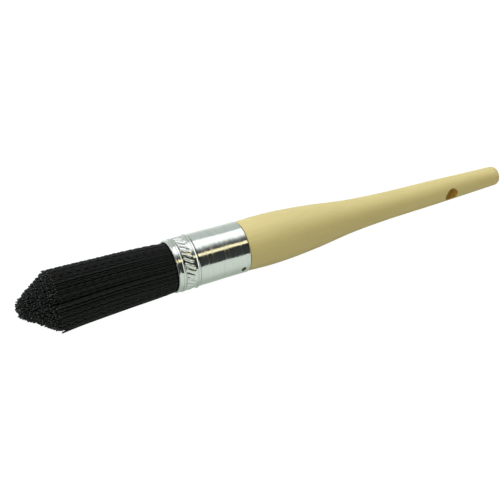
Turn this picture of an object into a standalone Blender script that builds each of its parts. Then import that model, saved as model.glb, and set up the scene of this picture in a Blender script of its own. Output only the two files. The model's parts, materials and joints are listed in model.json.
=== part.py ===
"""A round scrubbing brush: a blunt, trimmed head of crimped black nylon filaments set in a
plated steel ferrule, on a turned and painted wooden handle with a hanging hole.

The brush is modelled along its own axis. X runs from the head to the butt of the handle,
and X = 0 is the mouth of the ferrule. The head is a fixed core with two rings of filament
bundles around it, and each bundle bends outwards about a line at the ferrule's mouth.
The whole brush then lies on the ground on its widest places, as it does when put down.
"""

import math

import bmesh
import bpy
from mathutils import Matrix, Vector

MM = 0.001
GAP = 0.3 * MM

# Ferrule: a one inch tube, one and a half inches long
FERRULE_RADIUS = 12.7 * MM
FERRULE_LENGTH = 38.0 * MM
FERRULE_WALL = 0.45 * MM
LIP_POSITION = 0.6 * MM
LIP_HEIGHT = 0.2 * MM
FRONT_RIDGE_POSITION = 2.6 * MM
FRONT_RIDGE_HEIGHT = 0.3 * MM
REAR_RIDGE_POSITION = 10.7 * MM
REAR_RIDGE_HEIGHT = 0.4 * MM
RIDGE_HALF_WIDTH = 0.7 * MM
FERRULE_SIDES = 48

# Wooden handle
HANDLE_END = 187.3 * MM
TENON_START = 18.0 * MM
TENON_CHAMFER = 1.2 * MM
HANDLE_EDGE = 0.5 * MM
BUTT_ROUNDING = 2.6 * MM
BUTT_RADIUS = 4.9 * MM
HANDLE_SIDES = 48
HANDLE_RINGS = 26
# Distance behind the ferrule's mouth and radius, where the turned outline changes
HANDLE_OUTLINE = (
    (38.8 * MM, 12.45 * MM),
    (49.0 * MM, 12.75 * MM),
    (60.0 * MM, 12.5 * MM),
    (78.0 * MM, 11.0 * MM),
    (98.0 * MM, 8.5 * MM),
    (118.0 * MM, 7.15 * MM),
    (150.0 * MM, 6.2 * MM),
    (184.7 * MM, BUTT_RADIUS),
)
HANGING_HOLE_POSITION = 157.0 * MM
HANGING_HOLE_RADIUS = 3.65 * MM
HANGING_HOLE_ANGLE = math.radians(8)
HOLE_COUNTERSINK = 0.5 * MM
HOLE_SIDES = 24

# Brads through the back of the ferrule into the handle's tenon
BRAD_POSITION = 34.6 * MM
BRAD_ANGLES = (math.radians(-160), math.radians(20))
BRAD_SHANK_RADIUS = 0.6 * MM
BRAD_HEAD_RADIUS = 0.95 * MM
BRAD_HEAD_HEIGHT = 0.3 * MM
BRAD_LENGTH = 6.5 * MM
BRAD_SIDES = 16

# Cast resin that holds the filament roots
RESIN_FRONT = 2.2 * MM
RESIN_BACK = TENON_START - GAP

# Filament head
SECTORS = 12
FIRST_SECTOR_ANGLE = math.radians(-82.5)
RING_RADIUS = 8.2 * MM
CORE_RADIUS = 4.0 * MM
HEAD_LENGTH = 77.5 * MM
SHOULDER = 60.0 * MM
TIP_CROWN_START = 75.8 * MM
TIP_CROWN_RADIUS = 4.9 * MM
# Distance in front of the ferrule's mouth and radius of the flaring head
HEAD_OUTLINE = (
    (0.0, 12.2 * MM),
    (6.0 * MM, 12.8 * MM),
    (24.0 * MM, 13.55 * MM),
    (33.0 * MM, 13.9 * MM),
    (50.0 * MM, 15.0 * MM),
    (SHOULDER, 15.5 * MM),
)
ROOT_RADIUS = 1.5 * MM
ROOT_FLARE = math.radians(45)
THINNEST = 0.3 * MM
OUTER_HINGE_RADIUS = 10.3 * MM
INNER_HINGE_RADIUS = 6.1 * MM


# ---------------------------------------------------------------- helpers
def clear_scene():
    for scene_object in list(bpy.data.objects):
        bpy.data.objects.remove(scene_object)


def make_material(name, colour, roughness, metallic=0.0):
    material = bpy.data.materials.new(name)
    material.use_nodes = True
    shader = material.node_tree.nodes["Principled BSDF"]
    shader.inputs["Base Color"].default_value = (*colour, 1.0)
    shader.inputs["Roughness"].default_value = roughness
    shader.inputs["Metallic"].default_value = metallic
    return material


def smooth_through(points, position):
    """The height at a position of a smooth curve through a few (position, height) points."""
    spans = list(zip(points, points[1:]))
    slopes = [(b[1] - a[1]) / (b[0] - a[0]) for a, b in spans]
    tangents = [slopes[0]]
    tangents += [(before + after) / 2 for before, after in zip(slopes, slopes[1:])]
    tangents.append(slopes[-1])
    for number, (a, b) in enumerate(spans):
        if position <= b[0] or number == len(spans) - 1:
            break
    width = b[0] - a[0]
    t = (position - a[0]) / width
    return (
        (2 * t**3 - 3 * t**2 + 1) * a[1]
        + (t**3 - 2 * t**2 + t) * width * tangents[number]
        + (3 * t**2 - 2 * t**3) * b[1]
        + (t**3 - t**2) * width * tangents[number + 1]
    )


def add_object(name, mesh, material, parent):
    if not mesh.materials:
        mesh.materials.append(material)
    made = bpy.data.objects.new(name, mesh)
    made.parent = parent
    bpy.context.scene.collection.objects.link(made)
    return made


def mesh_from(name, rings, closed_loop=False, sharp_angle=30.0):
    """A closed mesh lofted through rings of the same number of points, or through a loop of them."""
    work = bmesh.new()
    verts = [[work.verts.new(point) for point in ring] for ring in rings]
    pairs = list(zip(verts, verts[1:]))
    if closed_loop:
        pairs.append((verts[-1], verts[0]))
    else:
        work.faces.new(verts[0])
        work.faces.new(verts[-1])
    for one, two in pairs:
        count = len(one)
        for i in range(count):
            j = (i + 1) % count
            work.faces.new((one[i], one[j], two[j], two[i]))
    bmesh.ops.recalc_face_normals(work, faces=work.faces)
    mesh = bpy.data.meshes.new(name)
    work.to_mesh(mesh)
    work.free()
    mesh.shade_smooth()
    mesh.set_sharp_from_angle(angle=math.radians(sharp_angle))
    return mesh


def turned_rings(outline, sides):
    """Rings around X for each (position, radius), with a flat side facing straight down."""
    angles = [2 * math.pi * (i + 0.5) / sides for i in range(sides)]
    return [
        [Vector((x, r * math.sin(angle), -r * math.cos(angle))) for angle in angles]
        for x, r in outline
    ]


def cut(target, cutter):
    """Cuts one body from another and leaves the cutter out of the model."""
    cutter.display_type = "WIRE"
    cutter.hide_render = True
    boolean = target.modifiers.new("cut_" + cutter.name, "BOOLEAN")
    boolean.operation = "DIFFERENCE"
    boolean.solver = "EXACT"
    boolean.object = cutter


def point_outwards(thing, position, angle):
    """Stands a piece made along its own X on the brush's axis, pointing out at an angle."""
    outwards = Matrix.Rotation(angle, 4, "X") @ Matrix.Rotation(math.pi / 2, 4, "Z")
    thing.matrix_local = Matrix.Translation((position, 0, 0)) @ outwards


# ---------------------------------------------------------------- handle, ferrule and resin
def make_handle(parent):
    paint = make_material("cream_satin_paint", (0.76, 0.65, 0.33), 0.38)
    bore = FERRULE_RADIUS - FERRULE_WALL
    tenon_radius = bore - GAP
    shoulder = FERRULE_LENGTH + GAP
    outline = [
        (TENON_START, tenon_radius - TENON_CHAMFER),
        (TENON_START + TENON_CHAMFER, tenon_radius),
        (shoulder, tenon_radius),
        (shoulder, HANDLE_OUTLINE[0][1] - HANDLE_EDGE / 2),
    ]
    start, stop = HANDLE_OUTLINE[0][0], HANDLE_OUTLINE[-1][0]
    for i in range(HANDLE_RINGS + 1):
        x = start + (stop - start) * i / HANDLE_RINGS
        outline.append((x, smooth_through(HANDLE_OUTLINE, x)))
    for step in (1, 2, 3, 4):
        turn = math.radians(22.5 * step)
        outline.append(
            (
                HANDLE_END - BUTT_ROUNDING * (1 - math.sin(turn)),
                BUTT_RADIUS - BUTT_ROUNDING * (1 - math.cos(turn)),
            )
        )
    mesh = mesh_from("handle", turned_rings(outline, HANDLE_SIDES))
    handle = add_object("handle", mesh, paint, parent)

    surface = smooth_through(HANDLE_OUTLINE, HANGING_HOLE_POSITION)
    far, near = 2 * surface, surface - HOLE_COUNTERSINK
    wide = HANGING_HOLE_RADIUS + far - near
    hole_outline = [
        (-far, wide),
        (-near, HANGING_HOLE_RADIUS),
        (near, HANGING_HOLE_RADIUS),
        (far, wide),
    ]
    hole_mesh = mesh_from("hanging_hole_cutter", turned_rings(hole_outline, HOLE_SIDES))
    hole = add_object("hanging_hole_cutter", hole_mesh, paint, parent)
    point_outwards(hole, HANGING_HOLE_POSITION, HANGING_HOLE_ANGLE)
    cut(handle, hole)
    for number, angle in enumerate(BRAD_ANGLES, 1):
        pocket_outline = [
            (FERRULE_RADIUS - BRAD_LENGTH - GAP, BRAD_SHANK_RADIUS + GAP),
            (FERRULE_RADIUS, BRAD_SHANK_RADIUS + GAP),
        ]
        name = f"brad_pocket_cutter_{number}"
        pocket_mesh = mesh_from(name, turned_rings(pocket_outline, BRAD_SIDES))
        pocket = add_object(name, pocket_mesh, paint, parent)
        point_outwards(pocket, BRAD_POSITION, angle)
        cut(handle, pocket)


def ridge(position, height):
    """Points of a rounded ridge rolled around the ferrule."""
    return [
        (position - RIDGE_HALF_WIDTH, FERRULE_RADIUS),
        (position - RIDGE_HALF_WIDTH / 2, FERRULE_RADIUS + 0.75 * height),
        (position, FERRULE_RADIUS + height),
        (position + RIDGE_HALF_WIDTH / 2, FERRULE_RADIUS + 0.75 * height),
        (position + RIDGE_HALF_WIDTH, FERRULE_RADIUS),
    ]


def make_ferrule(parent):
    plate = make_material("bright_tin_plate", (0.72, 0.74, 0.73), 0.18, metallic=1.0)
    bore = FERRULE_RADIUS - FERRULE_WALL
    outline = [
        (0.0, bore + FERRULE_WALL / 2),
        (LIP_POSITION / 3, FERRULE_RADIUS),
        (LIP_POSITION, FERRULE_RADIUS + LIP_HEIGHT),
        (2 * LIP_POSITION, FERRULE_RADIUS),
        *ridge(FRONT_RIDGE_POSITION, FRONT_RIDGE_HEIGHT),
        *ridge(REAR_RIDGE_POSITION, REAR_RIDGE_HEIGHT),
        (FERRULE_LENGTH - FERRULE_WALL, FERRULE_RADIUS),
        (FERRULE_LENGTH, FERRULE_RADIUS - FERRULE_WALL / 3),
        (FERRULE_LENGTH, bore),
        (0.0, bore),
    ]
    rings = turned_rings(outline, FERRULE_SIDES)
    ferrule = add_object(
        "ferrule", mesh_from("ferrule", rings, closed_loop=True), plate, parent
    )
    for number, angle in enumerate(BRAD_ANGLES, 1):
        hole_outline = [
            (FERRULE_RADIUS - BRAD_LENGTH, BRAD_HEAD_RADIUS + GAP),
            (FERRULE_RADIUS + BRAD_LENGTH, BRAD_HEAD_RADIUS + GAP),
        ]
        name = f"ferrule_hole_cutter_{number}"
        hole_mesh = mesh_from(name, turned_rings(hole_outline, BRAD_SIDES))
        hole = add_object(name, hole_mesh, plate, parent)
        point_outwards(hole, BRAD_POSITION, angle)
        cut(ferrule, hole)


def make_brads(parent):
    steel = make_material("brad_steel", (0.35, 0.35, 0.35), 0.35, metallic=1.0)
    top = FERRULE_RADIUS - FERRULE_WALL / 4
    head_base = top - BRAD_HEAD_HEIGHT
    outline = [
        (FERRULE_RADIUS - BRAD_LENGTH, BRAD_SHANK_RADIUS / 3),
        (FERRULE_RADIUS - BRAD_LENGTH + 2 * BRAD_SHANK_RADIUS, BRAD_SHANK_RADIUS),
        (head_base, BRAD_SHANK_RADIUS),
        (head_base, BRAD_HEAD_RADIUS),
        (top, BRAD_HEAD_RADIUS),
    ]
    mesh = mesh_from("brad", turned_rings(outline, BRAD_SIDES))
    for name, angle in zip(("brad_front", "brad_back"), BRAD_ANGLES):
        brad = add_object(name, mesh, steel, parent)
        point_outwards(brad, BRAD_POSITION, angle)


def make_resin_plug(parent):
    resin = make_material("amber_setting_resin", (0.25, 0.12, 0.03), 0.4)
    radius = FERRULE_RADIUS - FERRULE_WALL - GAP
    outline = [(RESIN_FRONT, radius), (RESIN_BACK, radius)]
    mesh = mesh_from("resin_plug", turned_rings(outline, FERRULE_SIDES))
    add_object("resin_plug", mesh, resin, parent)


# ---------------------------------------------------------------- filament head
def head_radius(ahead):
    """Outer radius of the trimmed head at a distance in front of the ferrule's mouth."""
    if ahead <= SHOULDER:
        return smooth_through(HEAD_OUTLINE, ahead)
    if ahead <= TIP_CROWN_START:
        down = (ahead - SHOULDER) / (TIP_CROWN_START - SHOULDER)
        return HEAD_OUTLINE[-1][1] * (1 - down) + TIP_CROWN_RADIUS * down
    rise = (ahead - TIP_CROWN_START) / (HEAD_LENGTH - TIP_CROWN_START)
    return TIP_CROWN_RADIUS * math.sqrt(max(1 - rise * rise, 0.0))


def spread(ahead):
    """How far the filaments have fanned out, as a multiple of their spacing at the mouth."""
    return smooth_through(HEAD_OUTLINE, min(ahead, SHOULDER)) / HEAD_OUTLINE[0][1]


def root_reach(ahead):
    """Half the thickness that a bundle may have near its bending line and still clear the
    ferrule at every angle: a round root, then a flare."""
    if ahead < ROOT_RADIUS * math.sin(ROOT_FLARE):
        return math.sqrt(max(ROOT_RADIUS**2 - ahead**2, 0.0))
    return ahead / math.tan(ROOT_FLARE)


def bundle_end(inside):
    """Where the trimmed face of the head has come in to a bundle's inner side."""
    fan = spread(SHOULDER)
    slope = (HEAD_OUTLINE[-1][1] - TIP_CROWN_RADIUS) / (TIP_CROWN_START - SHOULDER)
    return SHOULDER + (HEAD_OUTLINE[-1][1] - inside * fan - GAP) / slope


def bundle_section(ahead, inside, outside, hinge):
    """The five corners of a bundle across its length: two inside, three outside.

    Y is measured outwards from the bending line and Z around the head."""
    half_sector = math.pi / SECTORS
    side_gap = GAP / 2 / math.cos(half_sector)
    reach = root_reach(ahead)
    inner = max(inside * spread(ahead) + GAP / 2, hinge - reach)
    trimmed = head_radius(ahead)
    if outside is None:
        middle, side = trimmed, trimmed * math.cos(half_sector)
    else:
        flat = outside * spread(ahead) - GAP / 2
        middle = side = min(flat, trimmed)
    middle, side = (
        max(min(out, hinge + reach), inner + THINNEST) for out in (middle, side)
    )

    def half_width(radius):
        return radius * math.tan(half_sector) - side_gap

    return [
        Vector((-ahead, inner - hinge, -half_width(inner))),
        Vector((-ahead, inner - hinge, half_width(inner))),
        Vector((-ahead, side - hinge, half_width(side))),
        Vector((-ahead, middle - hinge, 0.0)),
        Vector((-ahead, side - hinge, -half_width(side))),
    ]


def bundle_mesh(name, inside, outside, hinge):
    end = bundle_end(inside)
    root = [ROOT_RADIUS * math.sin(math.radians(turn)) for turn in (-78, -50, -20, 15, 45)]
    flaring = [3 * MM, 6 * MM, 15 * MM, 24 * MM, 33 * MM, 42 * MM, 50 * MM, SHOULDER - MM]
    trimmed = [SHOULDER + MM, (SHOULDER + end) / 2, end]
    if outside is not None:
        start = bundle_end(outside)
        trimmed = [SHOULDER + MM, start, (start + end) / 2, end]
    rings = [
        bundle_section(ahead, inside, outside, hinge)
        for ahead in root + flaring + trimmed
    ]
    return mesh_from(name, rings, sharp_angle=40)


def make_bundles(parent, nylon):
    rings = (
        ("outer", RING_RADIUS, None, OUTER_HINGE_RADIUS),
        ("inner", CORE_RADIUS, RING_RADIUS, INNER_HINGE_RADIUS),
    )
    for ring, inside, outside, hinge in rings:
        mesh = bundle_mesh(f"{ring}_bundle", inside, outside, hinge)
        for sector in range(SECTORS):
            angle = FIRST_SECTOR_ANGLE + 2 * math.pi * sector / SECTORS
            bundle = add_object(f"{ring}_bundle_{sector + 1:02d}", mesh, nylon, parent)
            bundle.location = (0.0, hinge * math.cos(angle), hinge * math.sin(angle))
            bundle.rotation_euler = (angle, 0.0, 0.0)


def make_core_bundle(parent, nylon):
    half_sector = math.pi / SECTORS
    root = -(RESIN_FRONT - GAP)
    stations = [root, 6 * MM, 24 * MM, 42 * MM, SHOULDER, TIP_CROWN_START]
    stations += [TIP_CROWN_START + (HEAD_LENGTH - TIP_CROWN_START) * s for s in (0.4, 0.8, 1)]
    rings = []
    for ahead in stations:
        across_flats = CORE_RADIUS * spread(max(ahead, 0.0)) - GAP / 2
        corner = min(across_flats / math.cos(half_sector), head_radius(max(ahead, 0.0)))
        corner = max(corner, THINNEST)
        edges = [FIRST_SECTOR_ANGLE + half_sector * (2 * i + 1) for i in range(SECTORS)]
        rings.append(
            [Vector((-ahead, corner * math.cos(e), corner * math.sin(e))) for e in edges]
        )
    mesh = mesh_from("core_bundle", rings, sharp_angle=40)
    add_object("core_bundle", mesh, nylon, parent)


# ---------------------------------------------------------------- lying on the ground
def world_points():
    bpy.context.view_layer.update()
    return [
        thing.matrix_world @ vertex.co
        for thing in bpy.data.objects
        if thing.type == "MESH" and not thing.hide_render
        for vertex in thing.data.vertices
    ]


def lay_down(axis):
    """Tips the brush on to its shoulder and the swell of the handle, centred over the origin."""
    handle_low = math.cos(math.pi / HANDLE_SIDES)
    head_low = HEAD_OUTLINE[-1][1] * math.cos(math.pi / (2 * SECTORS))
    tilt = min(
        math.atan2(head_low - radius * handle_low, SHOULDER + position)
        for position, radius in HANDLE_OUTLINE
    )
    axis.rotation_euler = (0.0, tilt, 0.0)
    points = world_points()
    lows = [min(point[i] for point in points) for i in range(3)]
    highs = [max(point[i] for point in points) for i in range(3)]
    axis.location = (-(lows[0] + highs[0]) / 2, -(lows[1] + highs[1]) / 2, -lows[2])


def make_brush():
    clear_scene()
    axis = bpy.data.objects.new("brush_axis", None)
    bpy.context.scene.collection.objects.link(axis)
    make_handle(axis)
    make_ferrule(axis)
    make_brads(axis)
    make_resin_plug(axis)
    nylon = make_material("black_nylon", (0.012, 0.013, 0.013), 0.45)
    make_core_bundle(axis, nylon)
    make_bundles(axis, nylon)
    lay_down(axis)


make_brush()
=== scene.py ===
"""The looks of the round filament brush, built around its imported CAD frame.

Every shape is made in the brush's own frame: X runs from the head to the butt, X = 0 is the
mouth of the ferrule, and an angle is measured round X from +Y towards +Z. place() then puts
it where the CAD frame lies. Lengths are in millimetres until place() turns them to metres.
"""

import json
import math

import bmesh
import bpy
import numpy as np
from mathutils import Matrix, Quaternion, Vector


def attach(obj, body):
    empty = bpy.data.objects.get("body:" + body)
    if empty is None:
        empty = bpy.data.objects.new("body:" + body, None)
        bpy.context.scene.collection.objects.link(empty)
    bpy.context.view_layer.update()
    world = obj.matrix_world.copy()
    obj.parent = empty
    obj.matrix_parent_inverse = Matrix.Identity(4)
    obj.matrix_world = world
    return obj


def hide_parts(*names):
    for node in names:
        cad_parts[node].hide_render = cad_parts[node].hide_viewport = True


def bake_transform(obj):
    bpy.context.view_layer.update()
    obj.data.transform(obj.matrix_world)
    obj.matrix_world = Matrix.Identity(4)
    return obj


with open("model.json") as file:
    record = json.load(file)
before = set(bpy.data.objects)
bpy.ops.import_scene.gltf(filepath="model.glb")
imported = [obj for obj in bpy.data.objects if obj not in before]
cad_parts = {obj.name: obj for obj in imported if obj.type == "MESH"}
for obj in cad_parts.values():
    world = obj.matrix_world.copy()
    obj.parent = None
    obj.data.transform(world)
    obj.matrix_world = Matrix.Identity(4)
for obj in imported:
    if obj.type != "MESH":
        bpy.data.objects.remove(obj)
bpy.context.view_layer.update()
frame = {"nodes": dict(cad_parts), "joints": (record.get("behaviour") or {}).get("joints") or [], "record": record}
record = frame["record"]
MM = 0.001

# ---------------------------------------------------------------- the brush's own frame
butt = next(mount for mount in record["mounts"] if mount["name"] == "handle_butt")
along = np.array(Vector(butt["axis"]).normalized())
across = np.array((0.0, 1.0, 0.0))
upward = np.cross(along, across)
mouth = np.mean([joint["pos_m"] for joint in frame["joints"]], axis=0)
axes = np.stack((along, across, upward))


def place(points):
    """World positions in metres of points in the brush's own frame in millimetres."""
    return mouth + (np.asarray(points, float) * MM) @ axes


# ---------------------------------------------------------------- sizes, as in the CAD
FERRULE_RADIUS = 12.7
FERRULE_LENGTH = 38.0
FERRULE_WALL = 0.45
HANDLE_START = FERRULE_LENGTH + 0.3
HANDLE_END = 187.3
BUTT_RADIUS = 4.9
BUTT_ROUNDING = 2.6
HANDLE_OUTLINE = (
    (38.8, 12.45), (49.0, 12.75), (60.0, 12.5), (78.0, 11.0),
    (98.0, 8.5), (118.0, 7.15), (150.0, 6.2), (184.7, BUTT_RADIUS),
)
TENON_START = 18.0
TENON_RADIUS = 11.95
HOLE_POSITION = 157.0
HOLE_RADIUS = 3.65
HOLE_ANGLE = math.radians(8)
HOLE_EASING = 0.6
BRAD_POSITION = 34.6
BRAD_ANGLES = (math.radians(-160), math.radians(20))
BRAD_HOLE_RADII = (1.15, 1.6)
SHOULDER = 60.0
HEAD_LENGTH = 77.5
CROWN_START = 75.8
CROWN_RADIUS = 4.9
HEAD_OUTLINE = (
    (0.0, 12.2), (6.0, 12.8), (24.0, 13.55), (33.0, 13.9), (50.0, 15.0), (SHOULDER, 15.5),
)
SECTORS = 12
FIRST_SECTOR_ANGLE = math.radians(-82.5)
RING_RADIUS = 8.2
CORE_RADIUS = 4.0


def smooth_through(points, positions):
    """Heights at some positions of a smooth curve through a few (position, height) points."""
    knots, heights = np.array(points).T
    slopes = np.diff(heights) / np.diff(knots)
    tangents = np.concatenate(
        (slopes[:1], (slopes[:-1] + slopes[1:]) / 2, slopes[-1:])
    )
    positions = np.asarray(positions, float)
    span = np.clip(np.searchsorted(knots, positions) - 1, 0, len(slopes) - 1)
    width = knots[span + 1] - knots[span]
    t = (positions - knots[span]) / width
    return (
        (2 * t**3 - 3 * t**2 + 1) * heights[span]
        + (t**3 - 2 * t**2 + t) * width * tangents[span]
        + (3 * t**2 - 2 * t**3) * heights[span + 1]
        + (t**3 - t**2) * width * tangents[span + 1]
    )


def smooth_step(low, high, value):
    t = np.clip((value - low) / (high - low), 0.0, 1.0)
    return t * t * (3 - 2 * t)


def plateau(stretch, value):
    """One on a level stretch, from (foot, top, top, foot) positions, and nothing beyond."""
    rise_start, rise_end, fall_start, fall_end = stretch
    risen = smooth_step(rise_start, rise_end, value)
    return risen * (1 - smooth_step(fall_start, fall_end, value))


def bell(value, centre, width):
    """A smooth bump of height one round a centre."""
    return np.exp(-(((value - centre) / width) ** 2))


def full_turn(sides):
    """Evenly spaced angles round a full turn."""
    return 2 * math.pi * np.arange(sides) / sides


# The ferrule's front and the root of the head hang a little below the handle's line
DROOP = 0.35
DROOP_STRETCH = (-26.0, -2.0, 0.0, 17.0)


def droop(x):
    """How far the centre line lies below the handle's line."""
    return DROOP * plateau(DROOP_STRETCH, x)


# ---------------------------------------------------------------- materials
def new_material(name):
    material = bpy.data.materials.new(name)
    material.use_nodes = True
    nodes = material.node_tree.nodes
    return material, nodes, material.node_tree.links, nodes["Principled BSDF"]


def texture_space(nodes, links, scale):
    """Object coordinates, in metres, stretched by a scale for each axis."""
    coordinates = nodes.new("ShaderNodeTexCoord")
    mapping = nodes.new("ShaderNodeMapping")
    mapping.inputs["Scale"].default_value = scale
    links.new(coordinates.outputs["Object"], mapping.inputs["Vector"])
    return mapping.outputs["Vector"]


def noise(nodes, links, scale, detail=3.0, stretch=(1.0, 1.0, 1.0), roughness=0.5):
    texture = nodes.new("ShaderNodeTexNoise")
    texture.inputs["Scale"].default_value = scale
    texture.inputs["Detail"].default_value = detail
    texture.inputs["Roughness"].default_value = roughness
    links.new(texture_space(nodes, links, stretch), texture.inputs["Vector"])
    return texture.outputs["Fac"]


def ramp(nodes, links, factor, stops):
    """A colour ramp from (position, colour) stops."""
    node = nodes.new("ShaderNodeValToRGB")
    elements = node.color_ramp.elements
    while len(elements) < len(stops):
        elements.new(0.5)
    for element, (position, colour) in zip(elements, stops):
        element.position = position
        element.color = (*colour, 1.0)
    links.new(factor, node.inputs["Fac"])
    return node.outputs["Color"]


def between(nodes, links, factor, low, high, start=0.0, stop=1.0, curve="LINEAR"):
    """A number that runs from low to high as the factor runs from start to stop."""
    node = nodes.new("ShaderNodeMapRange")
    node.interpolation_type = curve
    node.inputs["From Min"].default_value = start
    node.inputs["From Max"].default_value = stop
    node.inputs["To Min"].default_value = low
    node.inputs["To Max"].default_value = high
    links.new(factor, node.inputs["Value"])
    return node.outputs["Result"]


def fill(links, socket, value):
    """Gives a socket another socket's output, or a plain number, vector or colour."""
    if isinstance(value, bpy.types.NodeSocket):
        links.new(value, socket)
    elif socket.type == "RGBA":
        socket.default_value = (*value, 1.0)
    else:
        socket.default_value = value


def mix_colour(nodes, links, factor, one, two, mode="MIX"):
    node = nodes.new("ShaderNodeMix")
    node.data_type = "RGBA"
    node.blend_type = mode
    inputs = [socket for socket in node.inputs if socket.enabled]
    for socket, value in zip(inputs, (factor, one, two)):
        fill(links, socket, value)
    return next(socket for socket in node.outputs if socket.enabled)


def calculate(nodes, links, operation, *values):
    """The result of a calculation with one or two numbers."""
    node = nodes.new("ShaderNodeMath")
    node.operation = operation
    for socket, value in zip(node.inputs, values):
        fill(links, socket, value)
    return node.outputs["Value"]


def combine(nodes, links, operation, *vectors, scale=None):
    """The result of a calculation with vectors, and with a scale where it takes one."""
    node = nodes.new("ShaderNodeVectorMath")
    node.operation = operation
    for socket, value in zip(node.inputs, vectors):
        fill(links, socket, value)
    if scale is not None:
        fill(links, node.inputs["Scale"], scale)
    return node.outputs["Vector"]


def bump(nodes, links, shader, layers, normal=None):
    """Stacks (height, strength, distance in millimetres) layers on a shader's normal."""
    for height, strength, distance in layers:
        node = nodes.new("ShaderNodeBump")
        node.inputs["Strength"].default_value = strength
        node.inputs["Distance"].default_value = distance * MM
        links.new(height, node.inputs["Height"])
        if normal is not None:
            links.new(normal, node.inputs["Normal"])
        normal = node.outputs["Normal"]
    links.new(normal, shader.inputs["Normal"])


def cream_paint():
    """Satin paint over wood: the grain shows through faintly, with a slight orange peel."""
    material, nodes, links, shader = new_material("cream_satin_paint")
    grain = noise(nodes, links, 1.0, 6.0, stretch=(60, 1500, 1500), roughness=0.6)
    broad = noise(nodes, links, 1.0, 3.0, stretch=(22, 90, 90))
    peel = noise(nodes, links, 900.0, 2.0)
    specks = noise(nodes, links, 2600.0, 1.0)
    base = ramp(nodes, links, broad, ((0.3, (0.565, 0.487, 0.217)), (0.7, (0.595, 0.516, 0.237))))
    lines = ramp(nodes, links, grain, ((0.35, (0.93, 0.92, 0.88)), (0.6, (1.0, 1.0, 1.0))))
    toned = mix_colour(nodes, links, 0.55, base, lines, "MULTIPLY")
    dots = ramp(nodes, links, specks, ((0.26, (0.72, 0.66, 0.5)), (0.31, (1.0, 1.0, 1.0))))
    colour = mix_colour(nodes, links, 0.5, toned, dots, "MULTIPLY")
    links.new(colour, shader.inputs["Base Color"])
    links.new(between(nodes, links, peel, 0.4, 0.56), shader.inputs["Roughness"])
    shader.inputs["Specular IOR Level"].default_value = 0.3
    bump(nodes, links, shader, ((grain, 0.25, 0.05), (peel, 0.3, 0.02)))
    return material


def bare_wood(name, dark, middle, light):
    """Bare grain, as in the drilled hole and on the tenon."""
    material, nodes, links, shader = new_material(name)
    grain = noise(nodes, links, 1.0, 8.0, stretch=(120, 2600, 2600), roughness=0.65)
    colour = ramp(nodes, links, grain, ((0.3, dark), (0.5, middle), (0.7, light)))
    links.new(colour, shader.inputs["Base Color"])
    links.new(between(nodes, links, grain, 0.6, 0.85), shader.inputs["Roughness"])
    bump(nodes, links, shader, ((grain, 0.6, 0.15),))
    return material


def tilted_round(nodes, links, amount):
    """The surface normal, tilted round the brush's length by an amount in radians."""
    normal = nodes.new("ShaderNodeNewGeometry").outputs["Normal"]
    sideways = combine(nodes, links, "CROSS_PRODUCT", tuple(along), normal)
    tilt = combine(nodes, links, "SCALE", sideways, scale=amount)
    tilted = combine(nodes, links, "ADD", tilt, normal)
    return combine(nodes, links, "NORMALIZE", tilted)


def tin_plate():
    """Bright plated steel with fine drawing streaks round the tube, and painted shade with some grime in its
    creases.
    """
    material, nodes, links, shader = new_material("bright_tin_plate")
    streaks = noise(nodes, links, 1.0, 2.0, stretch=(1150, 55, 55), roughness=0.6)
    scratches = noise(nodes, links, 1.0, 0.0, stretch=(3300, 220, 220))
    tilt = between(nodes, links, scratches, -0.024, 0.024, 0.25, 0.75)
    normal = tilted_round(nodes, links, tilt)
    mottle = noise(nodes, links, 260.0, 4.0)
    crease_shade_and_grime = nodes.new("ShaderNodeAttribute")
    crease_shade_and_grime.attribute_name = "crease_shade_and_grime"
    bright = ramp(
        nodes, links, streaks,
        ((0.3, (0.6, 0.645, 0.61)), (0.5, (0.635, 0.68, 0.645)), (0.7, (0.67, 0.712, 0.68))),
    )
    # Darkens the plate along thin lines beside the ridges: painted shade in the creases, with some grime
    colour = mix_colour(nodes, links, crease_shade_and_grime.outputs["Fac"], bright, (0.16, 0.17, 0.15))
    links.new(colour, shader.inputs["Base Color"])
    shader.inputs["Metallic"].default_value = 1.0
    streaky = between(nodes, links, streaks, 0.03, 0.2, 0.46, 0.68)
    clouded = between(nodes, links, mottle, 0.0, 0.05)
    rough = calculate(nodes, links, "ADD", streaky, clouded)
    links.new(rough, shader.inputs["Roughness"])
    bump(nodes, links, shader, ((streaks, 0.4, 0.03),), normal)
    return material


def brad_steel():
    """Steel coloured nearly black, mottled a little lighter in patches."""
    material, nodes, links, shader = new_material("brad_steel")
    blotches = noise(nodes, links, 2400.0, 4.0)
    # Nearly black all over, lighter where the noise is high
    colour = ramp(nodes, links, blotches, ((0.35, (0.03, 0.028, 0.022)), (0.7, (0.16, 0.15, 0.13))))
    links.new(colour, shader.inputs["Base Color"])
    shader.inputs["Metallic"].default_value = 1.0
    links.new(between(nodes, links, blotches, 0.6, 0.35), shader.inputs["Roughness"])
    bump(nodes, links, shader, ((blotches, 0.4, 0.05),))
    return material


def setting_resin():
    """Cast amber resin with clouds and small bubbles."""
    material, nodes, links, shader = new_material("amber_setting_resin")
    clouds = noise(nodes, links, 180.0, 4.0)
    bubbles = noise(nodes, links, 1400.0, 2.0)
    colour = ramp(nodes, links, clouds, ((0.3, (0.12, 0.05, 0.012)), (0.7, (0.34, 0.17, 0.05))))
    links.new(colour, shader.inputs["Base Color"])
    links.new(between(nodes, links, bubbles, 0.25, 0.5), shader.inputs["Roughness"])
    bump(nodes, links, shader, ((bubbles, 0.5, 0.1),))
    return material


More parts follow.
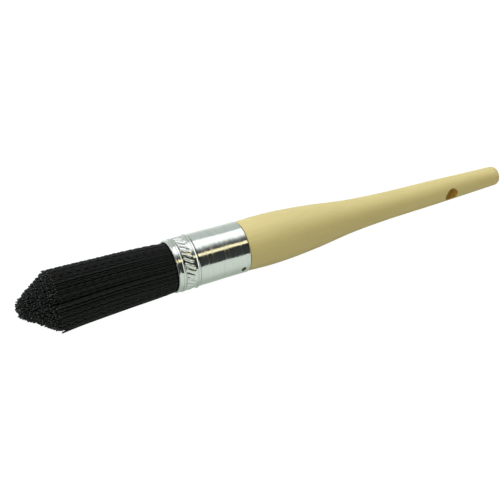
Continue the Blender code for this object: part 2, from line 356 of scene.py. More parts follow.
def black_nylon():
    """Black nylon: each filament has its own tone, with a faint waxy bloom and rare dust."""
    material, nodes, links, shader = new_material("black_nylon")
    tone = nodes.new("ShaderNodeAttribute")
    tone.attribute_name = "tone"
    bloom = noise(nodes, links, 420.0, 4.0)
    dust = noise(nodes, links, 3800.0, 1.0)
    body = ramp(
        nodes, links, tone.outputs["Fac"],
        (
            (0.0, (0.0018, 0.0027, 0.0026)),
            (0.6, (0.005, 0.007, 0.0067)),
            (1.0, (0.0102, 0.014, 0.0134)),
        ),
    )
    share = between(nodes, links, bloom, 0.0, 0.35)
    bloomed = mix_colour(nodes, links, share, body, (0.009, 0.0142, 0.0142))
    flecks = ramp(nodes, links, dust, ((0.79, (0.0, 0.0, 0.0)), (0.83, (0.5, 0.5, 0.5))))
    colour = mix_colour(nodes, links, flecks, bloomed, (0.25, 0.25, 0.23))
    links.new(colour, shader.inputs["Base Color"])
    links.new(between(nodes, links, bloom, 0.27, 0.49), shader.inputs["Roughness"])
    shader.inputs["Specular IOR Level"].default_value = 0.25
    bump(nodes, links, shader, ((bloom, 0.2, 0.02),))
    return material


def cut_nylon():
    """The sheared ends of the filaments, paler than their sides."""
    material, nodes, links, shader = new_material("cut_nylon")
    grey = noise(nodes, links, 900.0, 2.0)
    colour = ramp(nodes, links, grey, ((0.35, (0.012, 0.013, 0.013)), (0.75, (0.2, 0.21, 0.2))))
    links.new(colour, shader.inputs["Base Color"])
    links.new(between(nodes, links, grey, 0.4, 0.6), shader.inputs["Roughness"])
    bump(nodes, links, shader, ((grey, 0.3, 0.02),))
    return material


# ---------------------------------------------------------------- mesh making
def mesh_piece(name, points, polygons, materials, material_numbers=None, attributes=None):
    """A smooth-shaded object from points in the brush's frame and (count, corners) polygons."""
    totals, corners = polygons
    mesh = bpy.data.meshes.new(name)
    mesh.vertices.add(len(points))
    mesh.vertices.foreach_set("co", place(points).astype(np.float32).ravel())
    mesh.loops.add(len(corners))
    mesh.loops.foreach_set("vertex_index", corners.astype(np.int32))
    mesh.polygons.add(len(totals))
    starts = np.concatenate(([0], np.cumsum(totals)[:-1]))
    mesh.polygons.foreach_set("loop_start", starts.astype(np.int32))
    mesh.polygons.foreach_set("loop_total", totals.astype(np.int32))
    if material_numbers is not None:
        mesh.polygons.foreach_set("material_index", material_numbers.astype(np.int32))
    mesh.update(calc_edges=True)
    for attribute, values in (attributes or {}).items():
        layer = mesh.attributes.new(attribute, "FLOAT", "POINT")
        layer.data.foreach_set("value", values.astype(np.float32))
    mesh.validate()
    mesh.shade_smooth()
    for material in materials:
        mesh.materials.append(material)
    piece = bpy.data.objects.new(name, mesh)
    bpy.context.scene.collection.objects.link(piece)
    return piece


def grid_polygons(rings, sides, wrap=False):
    """Quads between rings of points that follow each other; wrap joins the last to the first."""
    ring = np.arange(rings if wrap else rings - 1)[:, None]
    side = np.arange(sides)[None, :]
    after, beside = (ring + 1) % rings, (side + 1) % sides
    quads = np.stack(
        (ring * sides + side, ring * sides + beside, after * sides + beside, after * sides + side),
        axis=-1,
    )
    corners = quads.reshape(-1)
    return np.full(len(corners) // 4, 4), corners


def tube_polygons(rings, sides):
    """Quads of a tube, then a polygon over its first ring and one over its last."""
    totals, corners = grid_polygons(rings, sides)
    first_cap = np.arange(sides)[::-1]
    last_cap = (rings - 1) * sides + np.arange(sides)
    totals = np.concatenate((totals, [sides, sides]))
    return totals, np.concatenate((corners, first_cap, last_cap))


def revolve(outline, sides):
    """Points of rings round X from (position, radius) pairs."""
    angles = full_turn(sides)
    x, radius = np.array(outline).T[:, :, None]
    rings = (x + 0 * angles, radius * np.cos(angles), radius * np.sin(angles))
    return np.stack(rings, axis=-1).reshape(-1, 3)


def arc(centre, radius, start, stop, steps):
    """Outline points along an arc; angles in degrees from the X direction."""
    turns = np.radians(np.linspace(start, stop, steps))
    return [
        (centre[0] + radius * math.cos(t), centre[1] + radius * math.sin(t)) for t in turns
    ]


def cut(piece, cutter):
    """Takes a closed cutter out of a piece, and removes the cutter."""
    work = bmesh.new()
    work.from_mesh(cutter.data)
    bmesh.ops.recalc_face_normals(work, faces=work.faces)
    work.to_mesh(cutter.data)
    work.free()
    boolean = piece.modifiers.new(cutter.name, "BOOLEAN")
    boolean.operation = "DIFFERENCE"
    boolean.solver = "EXACT"
    boolean.object = cutter
    bpy.context.view_layer.update()
    graph = bpy.context.evaluated_depsgraph_get()
    made = bpy.data.meshes.new_from_object(piece.evaluated_get(graph), depsgraph=graph)
    piece.modifiers.clear()
    old = piece.data
    piece.data = made
    bpy.data.meshes.remove(old)
    bpy.data.objects.remove(cutter)


def use(piece, body, slot, *nodes):
    """Makes a piece stand for CAD nodes by hiding them, and ride on a body; slot is not used."""
    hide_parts(*nodes)
    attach(piece, body)


# ---------------------------------------------------------------- handle
HANDLE_SIDES = 144
HANDLE_RINGS = 170
FRONT_ROUNDING = 0.45
TENON_CHAMFER = 1.2
BUTT_CENTRE_RADIUS = 1.5
NEARLY_ZERO = 0.02
PAINT, RAW, GLUED_AND_SHADED = 0, 1, 2
# The tenon's end, chamfer, side and the step up to the painted front edge
TENON_BANDS = 4
HOLE_SIDES = 96
CUTTER_REACH = 1.5


def hole_cutter(materials):
    """The drilled hole, flared where it meets the handle so that its rim is eased."""
    angles = full_turn(HOLE_SIDES)
    surface = float(smooth_through(HANDLE_OUTLINE, HOLE_POSITION))
    outside = HOLE_RADIUS + HOLE_EASING + CUTTER_REACH
    rings = [(outside, np.full(HOLE_SIDES, surface + CUTTER_REACH))]
    for turn in np.radians((84, 66, 44, 22, 0)):
        radius = HOLE_RADIUS + HOLE_EASING * (1 - math.cos(turn))
        skin = np.sqrt(surface**2 - (radius * np.sin(angles)) ** 2)
        rings.append((radius, skin - HOLE_EASING * (1 - math.sin(turn))))
    drilled = (len(rings) - 1) * HOLE_SIDES
    rings = [(radius, -height) for radius, height in rings] + rings[::-1]
    points = [
        np.stack((radius * np.cos(angles), height, radius * np.sin(angles)), axis=-1)
        for radius, height in rings
    ]
    x, y, z = np.concatenate(points).T
    cosine, sine = math.cos(HOLE_ANGLE), math.sin(HOLE_ANGLE)
    points = np.stack((HOLE_POSITION + x, y * cosine - z * sine, y * sine + z * cosine), axis=-1)
    polygons = tube_polygons(len(rings), HOLE_SIDES)
    numbers = np.full(len(polygons[0]), PAINT)
    numbers[drilled:drilled + HOLE_SIDES] = RAW
    return mesh_piece("hole_cutter", points, polygons, materials, numbers)


def handle_outline():
    """The turned outline: tenon, painted front edge, body and rounded butt."""
    tenon_edge = TENON_RADIUS - TENON_CHAMFER
    outline = [(TENON_START, NEARLY_ZERO), (TENON_START, tenon_edge)]
    outline += [(TENON_START + TENON_CHAMFER, TENON_RADIUS), (HANDLE_START, TENON_RADIUS)]
    body = np.linspace(HANDLE_OUTLINE[0][0] + FRONT_ROUNDING, HANDLE_OUTLINE[-1][0], HANDLE_RINGS)
    radii = smooth_through(HANDLE_OUTLINE, body)
    edge_radius = float(radii[0]) - FRONT_ROUNDING
    outline += [(HANDLE_START, edge_radius)]
    outline += arc((HANDLE_START + FRONT_ROUNDING, edge_radius), FRONT_ROUNDING, 170, 100, 6)
    outline += list(zip(body, radii))
    butt_flat = BUTT_RADIUS - BUTT_ROUNDING
    outline += arc((HANDLE_END - BUTT_ROUNDING, butt_flat), BUTT_ROUNDING, 84, 4, 12)
    flat_radii = (butt_flat, BUTT_CENTRE_RADIUS, NEARLY_ZERO)
    return outline + [(HANDLE_END, radius) for radius in flat_radii]


def make_handle():
    materials = (
        cream_paint(),
        bare_wood("raw_wood", (0.3, 0.16, 0.022), (0.48, 0.29, 0.05), (0.6, 0.39, 0.09)),
        # The tenon's wood is near black: glue stain, with painted shade inside the ferrule round the brads
        bare_wood("glued_shaded_wood", (0.012, 0.009, 0.006), (0.03, 0.02, 0.01), (0.06, 0.04, 0.02)),
    )
    outline = handle_outline()
    polygons = tube_polygons(len(outline), HANDLE_SIDES)
    numbers = np.full(len(polygons[0]), PAINT)
    # The tenon and its front face take the near-black wood: glue stain with painted shade
    numbers[:TENON_BANDS * HANDLE_SIDES] = GLUED_AND_SHADED
    front_cap = -2
    numbers[front_cap] = GLUED_AND_SHADED
    points = revolve(outline, HANDLE_SIDES)
    handle = mesh_piece("handle_body", points, polygons, materials, numbers)
    cut(handle, hole_cutter(materials))
    handle.data.set_sharp_from_angle(angle=math.radians(50))
    use(handle, "root", "handle_paint", "handle")


# ---------------------------------------------------------------- ferrule
FERRULE_SIDES = 360
FERRULE_EDGE = 0.25
# (start, end, rings) of the stretch with the relief, the plain barrel and the brads' stretch
FERRULE_STRETCHES = (
    (FERRULE_EDGE, 12.0, 96), (12.4, 31.6, 30), (31.9, FERRULE_LENGTH - FERRULE_EDGE, 34),
)
# (position, height) of the lip and of each ridge
LIP = (0.6, 0.15)
LIP_WIDTH = 0.42
RIDGES = ((3.2, 0.4), (10.75, 0.5))
RIDGE_FRONT_WIDTH = 0.45
RIDGE_BACK_WIDTH = 0.38
FERRULE_FLARE = 0.24
FLARE_END = (14.0, 32.0)
# Where the painted crease shade, with some grime, lies beside each ridge, and how wide it is
CREASE_SHADE_OFFSET = 0.72
CREASE_SHADE_WIDTH = 0.2
CRIMPS = 33
# The crimped band, as (foot, top, top, foot) positions
CRIMP_BAND = (3.7, 4.6, 7.2, 9.4)
CRIMP_START = 3.3
CRIMP_SLANT = 0.038
CRIMP_SWAY = 0.5
CRIMP_SWAY_LENGTH = 3.0
CRIMP_DEPTH = 0.42
CRIMP_SINK = 0.12
DIMPLE_DEPTH = 0.32
DIMPLE_RADIUS = 1.0
DIMPLE_RIM = 0.1
DIMPLE_RIM_RADIUS = 2.1
DIMPLE_RIM_WIDTH = 0.5
UNEVEN_STRETCH = (11.5, 14, 28, 37)
BRAD_HOLE_SIDES = 48
BRAD_HOLE_REACH = (9.0, 16.0)


def crimps(x, angle):
    """Height of the slanted crimps, each a little unlike the next."""
    sway = CRIMP_SWAY * np.sin((x - CRIMP_START) * math.pi / CRIMP_SWAY_LENGTH)
    phase = CRIMPS * (angle - CRIMP_SLANT * (x - CRIMP_START)) + sway
    uneven = 1 + 0.3 * np.sin(5 * angle + 1.3) + 0.2 * np.sin(11 * angle + 0.4 * x)
    wave = np.cos(phase) + 0.35 * np.cos(2 * phase + 0.6)
    return plateau(CRIMP_BAND, x) * (CRIMP_DEPTH / 2 * uneven * wave - CRIMP_SINK)


def ferrule_relief(x, angle):
    """Height above the plain tube at a position and angle: lip, ridges, crimps and dimples."""
    height = LIP[1] * bell(x, LIP[0], LIP_WIDTH) + crimps(x, angle)
    for position, rise in RIDGES:
        width = np.where(x < position, RIDGE_FRONT_WIDTH, RIDGE_BACK_WIDTH)
        height = height + rise * bell(x, position, width)
    for brad_angle in BRAD_ANGLES:
        turn = (angle - brad_angle + math.pi) % (2 * math.pi) - math.pi
        distance = np.hypot(turn * FERRULE_RADIUS, x - BRAD_POSITION)
        height = height - DIMPLE_DEPTH * bell(distance, 0.0, DIMPLE_RADIUS)
        height = height + DIMPLE_RIM * bell(distance, DIMPLE_RIM_RADIUS, DIMPLE_RIM_WIDTH)
    slow = 0.02 * np.sin(3 * angle + 0.11 * x) + 0.012 * np.sin(7 * angle - 0.2 * x)
    height = height + slow * plateau(UNEVEN_STRETCH, x)
    return height + FERRULE_FLARE * (1 - smooth_step(*FLARE_END, x))


def ferrule_crease_shade_and_grime(x):
    """How much painted shade, with some grime, lies at a distance behind the mouth: thin lines beside the ridges.
    """
    amount = 0.0
    for position, _ in RIDGES:
        for side, share in ((-CREASE_SHADE_OFFSET, 0.35), (CREASE_SHADE_OFFSET, 0.6)):
            amount = amount + share * bell(x, position + side, CREASE_SHADE_WIDTH)
    return np.clip(amount, 0.0, 1.0)


def brad_hole_cutter(brad_angle, materials):
    """An oval pin, through which a brad shows in the ferrule's wall."""
    outline = [(reach, 1.0) for reach in BRAD_HOLE_REACH]
    out, along_brush, round_brush = revolve(outline, BRAD_HOLE_SIDES).T
    x = BRAD_POSITION + along_brush * BRAD_HOLE_RADII[0]
    sideways = round_brush * BRAD_HOLE_RADII[1]
    cosine, sine = math.cos(brad_angle), math.sin(brad_angle)
    points = np.stack((x, out * cosine - sideways * sine, out * sine + sideways * cosine), axis=-1)
    polygons = tube_polygons(len(outline), BRAD_HOLE_SIDES)
    return mesh_piece("brad_hole", points, polygons, materials)


def make_ferrule():
    materials = (tin_plate(),)
    stations = np.concatenate([np.linspace(*stretch) for stretch in FERRULE_STRETCHES])
    x, angle = np.meshgrid(stations, full_turn(FERRULE_SIDES), indexing="ij")
    radius = FERRULE_RADIUS + ferrule_relief(x, angle)
    relief = np.stack((x, radius * np.cos(angle), radius * np.sin(angle)), axis=-1)

    back = FERRULE_LENGTH
    bore = FERRULE_RADIUS - FERRULE_WALL
    middle = (FERRULE_RADIUS + bore) / 2
    front_edge = arc((FERRULE_EDGE, middle), FERRULE_WALL / 2, 200, 120, 5)
    back_edge = arc((back - FERRULE_EDGE, middle), FERRULE_WALL / 2, 60, -60, 5)
    inner_positions = (back - 1, back / 2, 12.0, 1.0, FERRULE_EDGE)
    inside = [(position, bore) for position in inner_positions]
    rest = revolve(back_edge + inside, FERRULE_SIDES)
    points = np.concatenate((revolve(front_edge, FERRULE_SIDES), relief.reshape(-1, 3), rest))
    polygons = grid_polygons(len(points) // FERRULE_SIDES, FERRULE_SIDES, wrap=True)

    # Painted crease shade, with some grime, on the outside of the sleeve only
    outside = np.hypot(points[:, 1], points[:, 2]) > FERRULE_RADIUS - FERRULE_WALL / 3
    crease_shade_and_grime = np.where(outside, ferrule_crease_shade_and_grime(points[:, 0]), 0.0)
    points[:, 2] -= droop(points[:, 0])
    ferrule = mesh_piece("ferrule_sleeve", points, polygons, materials, None, {"crease_shade_and_grime": crease_shade_and_grime})
    for brad_angle in BRAD_ANGLES:
        cut(ferrule, brad_hole_cutter(brad_angle, materials))
    ferrule.data.set_sharp_from_angle(angle=math.radians(55))
    use(ferrule, "root", "ferrule_plate", "ferrule")


# ---------------------------------------------------------------- filaments
SIDE, CUT_END = 0, 1
FILAMENT_RADIUS = 0.31
RING_STEP = 0.64
FILAMENT_STEP = 0.66
OUTERMOST = 11.55
ROOT_START = -2.0
CRIMP_PITCH = 4.2
SAG = 1.6
BULGE = 0.4
BULGE_STRETCH = (0.2, 2.5, 6.0, 22.0)
CRIMP_SIZE = 0.25
CLUMPS = 54
CLUMP_PULL = 0.3
# Filaments gather in clumps from the first radius, and fully from the second
CLUMP_RADII = (6.0, 11.5)
# Chance spreads of a root's place, a filament's course, its crimp and its thickness
ROOT_SPREAD = 0.1
ROOT_SIDE_SPREAD = 0.14
LIFT_SPREAD = 0.2
WANDER = 0.1
SIDE_DRIFT = 0.12
PITCH_SPREAD = 0.014
PHASE_SPREAD = 0.16
LEAN_SPREAD = 0.2
THICKNESS_SPREAD = 0.08
# The share of its course and of its crimp that a filament has at the mouth, and how far
# ahead it has all of each
LOOSE_AT_ROOT = 0.18
LOOSE_LENGTH = 36.0
CRIMP_AT_ROOT = 0.55
CRIMP_FULL_LENGTH = 30.0
# The ferrule's bore holds the filaments up to here, with this gap
MOUTH_LENGTH = 0.3
MOUTH_GAP = 0.05
# How far the uppermost filaments may stand out of the head's outline, halved
TOP_ROOM = 0.1
SAG_START = 20.0
TRIM_UNEVENNESS = 0.45
TOP_TRIM = 0.7
# (sides, rings to each wave of crimp) of the filaments from the surface inwards
OUTERMOST_DETAIL, OUTER_DETAIL, INNER_DETAIL = (5, 7), (4, 5), (4, 4)
TRIM_SLOPE = (HEAD_OUTLINE[-1][1] - CROWN_RADIUS) / (CROWN_START - SHOULDER)


def head_radius(ahead):
    """The head's outer radius at a distance ahead of the mouth, up to its shoulder."""
    return smooth_through(HEAD_OUTLINE, np.clip(ahead, 0.0, SHOULDER))


def spread(ahead):
    """How many times wider the head is at a distance ahead than at the mouth."""
    return head_radius(ahead) / HEAD_OUTLINE[0][1]


def filament_roots(random):
    """Radius and angle of every filament at the mouth, in rings from outside to centre."""
    radii, angles = [], []
    radius = OUTERMOST
    while radius > RING_STEP / 2:
        count = max(int(2 * math.pi * radius / FILAMENT_STEP), 1)
        turn = random.uniform(0, 2 * math.pi)
        ring = turn + full_turn(count)
        angles.append(ring + random.normal(0, ROOT_SIDE_SPREAD, count) / radius)
        radii.append(radius + random.normal(0, ROOT_SPREAD, count))
        radius -= RING_STEP
    return np.concatenate(radii), np.concatenate(angles) % (2 * math.pi)


def trimmed_ends(radius, angle, random):
    """How far ahead each filament reaches, by the blunt point that the head is trimmed to."""
    at_shoulder = radius * float(spread(SHOULDER))
    crown = np.sqrt(np.maximum(1 - (at_shoulder / CROWN_RADIUS) ** 2, 0.0))
    end = np.where(
        at_shoulder > CROWN_RADIUS,
        SHOULDER + (HEAD_OUTLINE[-1][1] - at_shoulder) / TRIM_SLOPE,
        CROWN_START + (HEAD_LENGTH - CROWN_START) * crown,
    )
    end = end + random.normal(0, TRIM_UNEVENNESS, len(radius)) - TRIM_UNEVENNESS
    return end - TOP_TRIM * np.sin(angle).clip(0.0)


def crimped_centres(radius, angle, ahead, clumps, random):
    """Centre lines of filaments, and the angle round the brush at each of their points."""
    count = len(radius)
    clump_angles, clump_lifts = clumps
    turns = (clump_angles[None, :] - angle[:, None] + math.pi) % (2 * math.pi) - math.pi
    nearest = np.argmin(np.abs(turns), axis=1)
    pull = turns[np.arange(count), nearest][:, None]
    lift = clump_lifts[nearest][:, None]
    surface = smooth_step(*CLUMP_RADII, radius)[:, None]
    grown = LOOSE_AT_ROOT + (1 - LOOSE_AT_ROOT) * smooth_step(0.0, LOOSE_LENGTH, ahead)
    wander = random.normal(0, WANDER, (count, 1))
    drift = random.normal(0, SIDE_DRIFT, (count, 1))
    out = radius[:, None] * spread(ahead) + grown * (surface * lift + wander)
    around = angle[:, None] + pull * CLUMP_PULL * surface * grown
    around = around + drift / out.clip(1.0) * grown

    crimp = CRIMP_AT_ROOT + (1 - CRIMP_AT_ROOT) * smooth_step(0.0, CRIMP_FULL_LENGTH, ahead)
    pitch = CRIMP_PITCH * random.normal(1.0, PITCH_SPREAD, (count, 1))
    phase = 2 * math.pi * ahead / pitch + 0.5 * np.sin(3 * angle)[:, None]
    phase = phase + random.normal(0, PHASE_SPREAD, (count, 1))
    lean = random.normal(0, LEAN_SPREAD, (count, 1))
    wave = CRIMP_SIZE * crimp * np.sin(phase)
    out = out + wave * np.cos(lean)
    sideways = wave * np.sin(lean)

    upper = np.sin(angle)[:, None]
    bulge = BULGE * plateau(BULGE_STRETCH, ahead) * (1 - upper) / 2
    limit = head_radius(ahead) + bulge + TOP_ROOM * (1 + upper)
    bore = FERRULE_RADIUS - FERRULE_WALL - MOUTH_GAP
    room = np.where(ahead < MOUTH_LENGTH, bore, limit) - FILAMENT_RADIUS
    out = np.minimum(out + surface * bulge, room)
    sag = 0.5 * SAG * smooth_step(SAG_START, HEAD_LENGTH, ahead) * (1 + np.sin(around))
    y = out * np.cos(around) - sideways * np.sin(around)
    z = out * np.sin(around) + sideways * np.cos(around) - sag - droop(-ahead)
    return np.stack((-ahead, y, z), axis=-1), around


def round_points(centre, around, sides, random):
    """Points round centre lines, in a ring at each of their points."""
    tangent = np.gradient(centre, axis=1)
    tangent /= np.linalg.norm(tangent, axis=-1, keepdims=True)
    outward = np.stack((np.zeros_like(around), np.cos(around), np.sin(around)), axis=-1)
    side = np.cross(tangent, outward)
    side /= np.linalg.norm(side, axis=-1, keepdims=True)
    normal = np.cross(side, tangent)
    turn = full_turn(sides)[:, None]
    thick = random.normal(1.0, THICKNESS_SPREAD, (len(centre), 1, 1, 1)).clip(0.8, 1.2)
    ring = np.cos(turn) * normal[:, :, None, :] + np.sin(turn) * side[:, :, None, :]
    return (centre[:, :, None, :] + FILAMENT_RADIUS * thick * ring).reshape(-1, 3)


def filament_tubes(radius, angle, clumps, random, sides, per_wave):
    """Points, polygons, material numbers and tones of closed tubes, one for each root."""
    count = len(radius)
    end = trimmed_ends(radius, angle, random)
    steps = int(math.ceil((end.max() - ROOT_START) / CRIMP_PITCH * per_wave))
    ahead = ROOT_START + (end[:, None] - ROOT_START) * np.linspace(0, 1, steps)[None, :]
    centre, around = crimped_centres(radius, angle, ahead, clumps, random)
    points = round_points(centre, around, sides, random)
    totals, corners = tube_polygons(steps, sides)
    corners = np.arange(count)[:, None] * steps * sides + corners[None, :]
    numbers = np.full(len(totals), SIDE)
    numbers[-1] = CUT_END
    tones = np.repeat(random.uniform(0, 1, count), steps * sides)
    return points, np.tile(totals, count), corners.reshape(-1), np.tile(numbers, count), tones


def filament_piece(name, groups, materials):
    """One object from several groups of filaments."""
    points, totals, corners, numbers, tones = zip(*groups)
    firsts = np.cumsum([0] + [len(part) for part in points])
    corners = [part + first for part, first in zip(corners, firsts)]
    polygons = np.concatenate(totals), np.concatenate(corners)
    tone = {"tone": np.concatenate(tones)}
    return mesh_piece(
        name, np.concatenate(points), polygons, materials, np.concatenate(numbers), tone
    )


STRAY_RADII = (
    (ROOT_START, 11.75), (3.0, 12.3), (30.0, 14.1), (40.0, 14.7), (50.0, 15.4), (59.2, 16.35),
)
STRAY_RADIUS = 0.42
STRAY_TONE = 0.4
# (angle in degrees, depth below the outermost line, length) of each
STRAYS = ((-131.0, 0.0, 59.2), (-129.2, 0.6, 56.0), (-133.6, 0.6, 58.0), (-136.5, 0.75, 54.0))


def stray_tube(degrees, sunk, length):
    """A filament that lost its crimp and lies straight along the outside of the head."""
    steps, sides = 40, 8
    ahead = np.linspace(ROOT_START, length, steps)
    out = smooth_through(STRAY_RADII, ahead) - sunk * smooth_step(0.0, 20.0, ahead)
    around = math.radians(degrees) + 0.01 * np.sin(ahead / 9.0 + degrees)
    height = out * np.sin(around) - droop(-ahead)
    centre = np.stack((-ahead, out * np.cos(around), height), axis=-1)
    turn = full_turn(sides)
    ring = STRAY_RADIUS * np.stack((0 * turn, np.cos(turn), -np.sin(turn)), axis=-1)
    points = (centre[:, None, :] + ring[None, :, :]).reshape(-1, 3)
    totals, corners = tube_polygons(steps, sides)
    numbers = np.full(len(totals), SIDE)
    numbers[-1] = CUT_END
    return points, totals, corners, numbers, np.full(len(points), STRAY_TONE)


def make_filaments():
    random = np.random.default_rng(12)
    materials = (black_nylon(), cut_nylon())
    radius, angle = filament_roots(random)
    clump_angles = np.arange(CLUMPS) + random.uniform(-0.4, 0.4, CLUMPS)
    clump_angles = clump_angles * 2 * math.pi / CLUMPS % (2 * math.pi)
    clumps = clump_angles, random.normal(0, LIFT_SPREAD, CLUMPS)

    def sector_of(turn):
        width = 2 * math.pi / SECTORS
        return (turn - FIRST_SECTOR_ANGLE + width / 2) // width % SECTORS

    def tubes(chosen, sides, per_wave):
        return filament_tubes(radius[chosen], angle[chosen], clumps, random, sides, per_wave)

    sector = sector_of(angle)
    stray_sector = sector_of(math.radians(STRAYS[0][0]))
    outermost = radius > OUTERMOST - 1.5 * RING_STEP
    outer = (radius > RING_RADIUS) & ~outermost
    inner = (radius <= RING_RADIUS) & (radius > CORE_RADIUS)
    core = radius <= CORE_RADIUS
    for number in range(SECTORS):
        label = f"{number + 1:02d}"
        here = sector == number
        for ring, groups in (
            ("outer", [tubes(outermost & here, *OUTERMOST_DETAIL), tubes(outer & here, *OUTER_DETAIL)]),
            ("inner", [tubes(inner & here, *INNER_DETAIL)]),
        ):
            if (ring, number) == ("outer", stray_sector):
                groups += [stray_tube(*stray) for stray in STRAYS]
            node = f"{ring}_bundle_{label}"
            piece = filament_piece(f"{ring}_filaments_{label}", groups, materials)
            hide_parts(node)
            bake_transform(piece)
    piece = filament_piece("core_filaments", (tubes(core, *INNER_DETAIL),), materials)
    use(piece, "root", "filaments", "core_bundle")


# ---------------------------------------------------------------- kept CAD nodes
def finish_nodes():
    steel, resin = brad_steel(), setting_resin()
    for node, material in (
        ("brad_front", steel), ("brad_back", steel), ("resin_plug", resin),
    ):
        mesh = frame["nodes"][node].data
        mesh.materials.clear()
        mesh.materials.append(material)


# ---------------------------------------------------------------- studio
FLOOR_SIZE = 6.0
FLOOR_GLOW = 1.06
# How much of the floor's glow the eye sees, and what mirrors and soft surfaces see of it
FLOOR_GLOW_SHARE = 0.9
FLOOR_MIRRORED = (0.28, 0.325, 0.305)
FLOOR_BOUNCED = (0.17, 0.15, 0.08)


def make_floor():
    """A white floor that lights the brush softly from below; the eye sees it nearly shadowless."""
    size = FLOOR_SIZE
    mesh = bpy.data.meshes.new("floor")
    corners = [(-size, -size, 0), (size, -size, 0), (size, size, 0), (-size, size, 0)]
    mesh.from_pydata(corners, [], [(0, 1, 2, 3)])
    material, nodes, links, shader = new_material("pale_floor")
    shader.inputs["Base Color"].default_value = (0.5, 0.505, 0.49, 1)
    shader.inputs["Roughness"].default_value = 0.9
    shader.inputs["Specular IOR Level"].default_value = 0.0
    shader.inputs["Emission Strength"].default_value = 1.0
    glow = nodes.new("ShaderNodeEmission")
    glow.inputs["Color"].default_value = (1.0, 1.0, 1.0, 1)
    glow.inputs["Strength"].default_value = FLOOR_GLOW
    path = nodes.new("ShaderNodeLightPath")
    soft = path.outputs["Is Diffuse Ray"]
    emitted = mix_colour(nodes, links, soft, FLOOR_MIRRORED, FLOOR_BOUNCED)
    links.new(emitted, shader.inputs["Emission Color"])
    seen = calculate(nodes, links, "MULTIPLY", path.outputs["Is Camera Ray"], FLOOR_GLOW_SHARE)
    either = nodes.new("ShaderNodeMixShader")
    links.new(seen, either.inputs["Fac"])
    links.new(shader.outputs["BSDF"], either.inputs[1])
    links.new(glow.outputs["Emission"], either.inputs[2])
    output = next(node for node in nodes if node.type == "OUTPUT_MATERIAL")
    links.new(either.outputs["Shader"], output.inputs["Surface"])
    mesh.materials.append(material)
    floor = bpy.data.objects.new("floor", mesh)
    bpy.context.scene.collection.objects.link(floor)


BRIGHTEST = 4.2


def grey(level, tint=(1.0, 1.0, 1.0)):
    """A sky colour of some brightness, as a share of the brightest."""
    return tuple(level / BRIGHTEST * part for part in tint)


GREEN, WARM = (0.96, 1.0, 0.97), (1.0, 0.85, 0.55)
# The sky over the brush from front to back, as (share of the half turn, colour): a dark room
# with one warm strip, then the soft box overhead and a pale wall behind
SKY = (
    (0.0, grey(0.06, GREEN)), (0.258, grey(0.04, GREEN)), (0.269, grey(1.6, WARM)),
    (0.321, grey(1.6, WARM)), (0.336, grey(0.1)), (0.40, grey(0.18)), (0.44, grey(0.5)),
    (0.5, grey(1.4)), (0.59, grey(4.2)), (0.68, grey(4.2)), (0.70, grey(0.7, GREEN)),
    (1.0, grey(0.76, GREEN)),
)
LEFT_WALL = (0.35, 0.36, 0.35)
# Soft surfaces also see a fill light in front: its share of the half turn over the brush
# from front to back, how far it reaches each way, how bright it is and its tint
FRONT_FILL_SHARE = 0.27
FRONT_FILL_WIDTH = 0.2
FRONT_FILL = 0.5
FRONT_FILL_TINT = (1.0, 1.0, 0.86)
# How bright the studio shows in mirror-like surfaces at most
GLOSS_LIMIT = 1.55
GLOSS_TINT = (1.03, 1.0, 1.02)


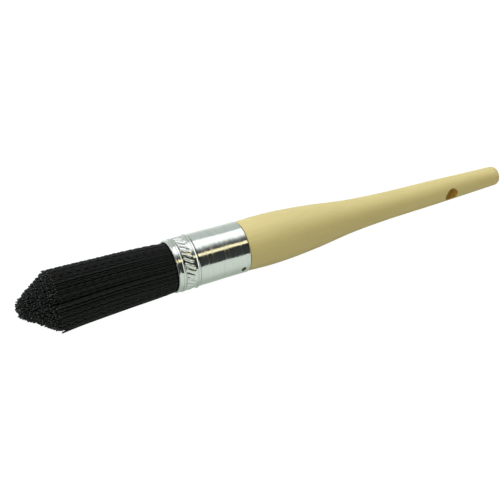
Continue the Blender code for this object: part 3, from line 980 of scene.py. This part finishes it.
def make_light():
    """A studio as one sky: a soft box overhead, a pale wall behind, a dark room in front."""
    world = bpy.data.worlds.new("studio")
    bpy.context.scene.world = world
    world.use_nodes = True
    nodes, links = world.node_tree.nodes, world.node_tree.links
    coordinates = nodes.new("ShaderNodeTexCoord")
    split = nodes.new("ShaderNodeSeparateXYZ")
    links.new(coordinates.outputs["Generated"], split.inputs["Vector"])
    endways = split.outputs["X"]
    forwards = calculate(nodes, links, "MULTIPLY", split.outputs["Y"], -1.0)
    turn = calculate(nodes, links, "ARCTAN2", split.outputs["Z"], forwards)
    share = calculate(nodes, links, "DIVIDE", turn, math.pi)
    sky = ramp(nodes, links, share, SKY)
    dimmed = between(nodes, links, endways, 1.0, 0.05, 0.5, 0.85, "SMOOTHSTEP")
    bounded = combine(nodes, links, "SCALE", sky, scale=dimmed)
    left = between(nodes, links, endways, 0.0, 1.0, -0.45, -0.85, "SMOOTHSTEP")
    room = mix_colour(nodes, links, left, bounded, LEFT_WALL)

    offset = calculate(nodes, links, "SUBTRACT", share, FRONT_FILL_SHARE)
    away = calculate(nodes, links, "ABSOLUTE", offset)
    front = between(nodes, links, away, 0.0, FRONT_FILL, FRONT_FILL_WIDTH, 0.0, "SMOOTHSTEP")
    added = combine(nodes, links, "SCALE", grey(1.0, FRONT_FILL_TINT), scale=front)
    on_soft = mix_colour(nodes, links, 1.0, room, added, "ADD")
    in_mirrors = combine(nodes, links, "MINIMUM", room, grey(GLOSS_LIMIT, GLOSS_TINT))
    path = nodes.new("ShaderNodeLightPath")
    lit = mix_colour(nodes, links, path.outputs["Is Diffuse Ray"], in_mirrors, on_soft)
    seen = mix_colour(nodes, links, path.outputs["Is Camera Ray"], lit, grey(1.0))
    background = nodes["Background"]
    links.new(seen, background.inputs["Color"])
    background.inputs["Strength"].default_value = BRIGHTEST


CAMERA_AZIMUTH = math.radians(-26.2)
CAMERA_ELEVATION = math.radians(38.6)
CAMERA_ROLL = math.radians(0.19)
CAMERA_DISTANCE = 0.7645
CAMERA_TARGET = (43.63, 0.0, -3.89)
CAMERA_LENS = 111.6


def make_camera():
    turn = Quaternion((0, 0, 1), CAMERA_AZIMUTH) @ Quaternion((1, 0, 0), -CAMERA_ELEVATION)
    back = turn @ Vector((0, -1, 0))
    data = bpy.data.cameras.new("camera")
    data.lens = CAMERA_LENS
    data.sensor_width = 36.0
    camera = bpy.data.objects.new("camera", data)
    camera.location = Vector(place(CAMERA_TARGET)) + CAMERA_DISTANCE * back
    turned = back.to_track_quat("Z", "Y") @ Quaternion((0, 0, 1), CAMERA_ROLL)
    camera.rotation_euler = turned.to_euler()
    bpy.context.scene.collection.objects.link(camera)
    bpy.context.scene.camera = camera
    bpy.context.scene.view_settings.view_transform = "Standard"


make_camera()
make_light()
make_floor()
finish_nodes()
make_handle()
make_ferrule()
make_filaments()
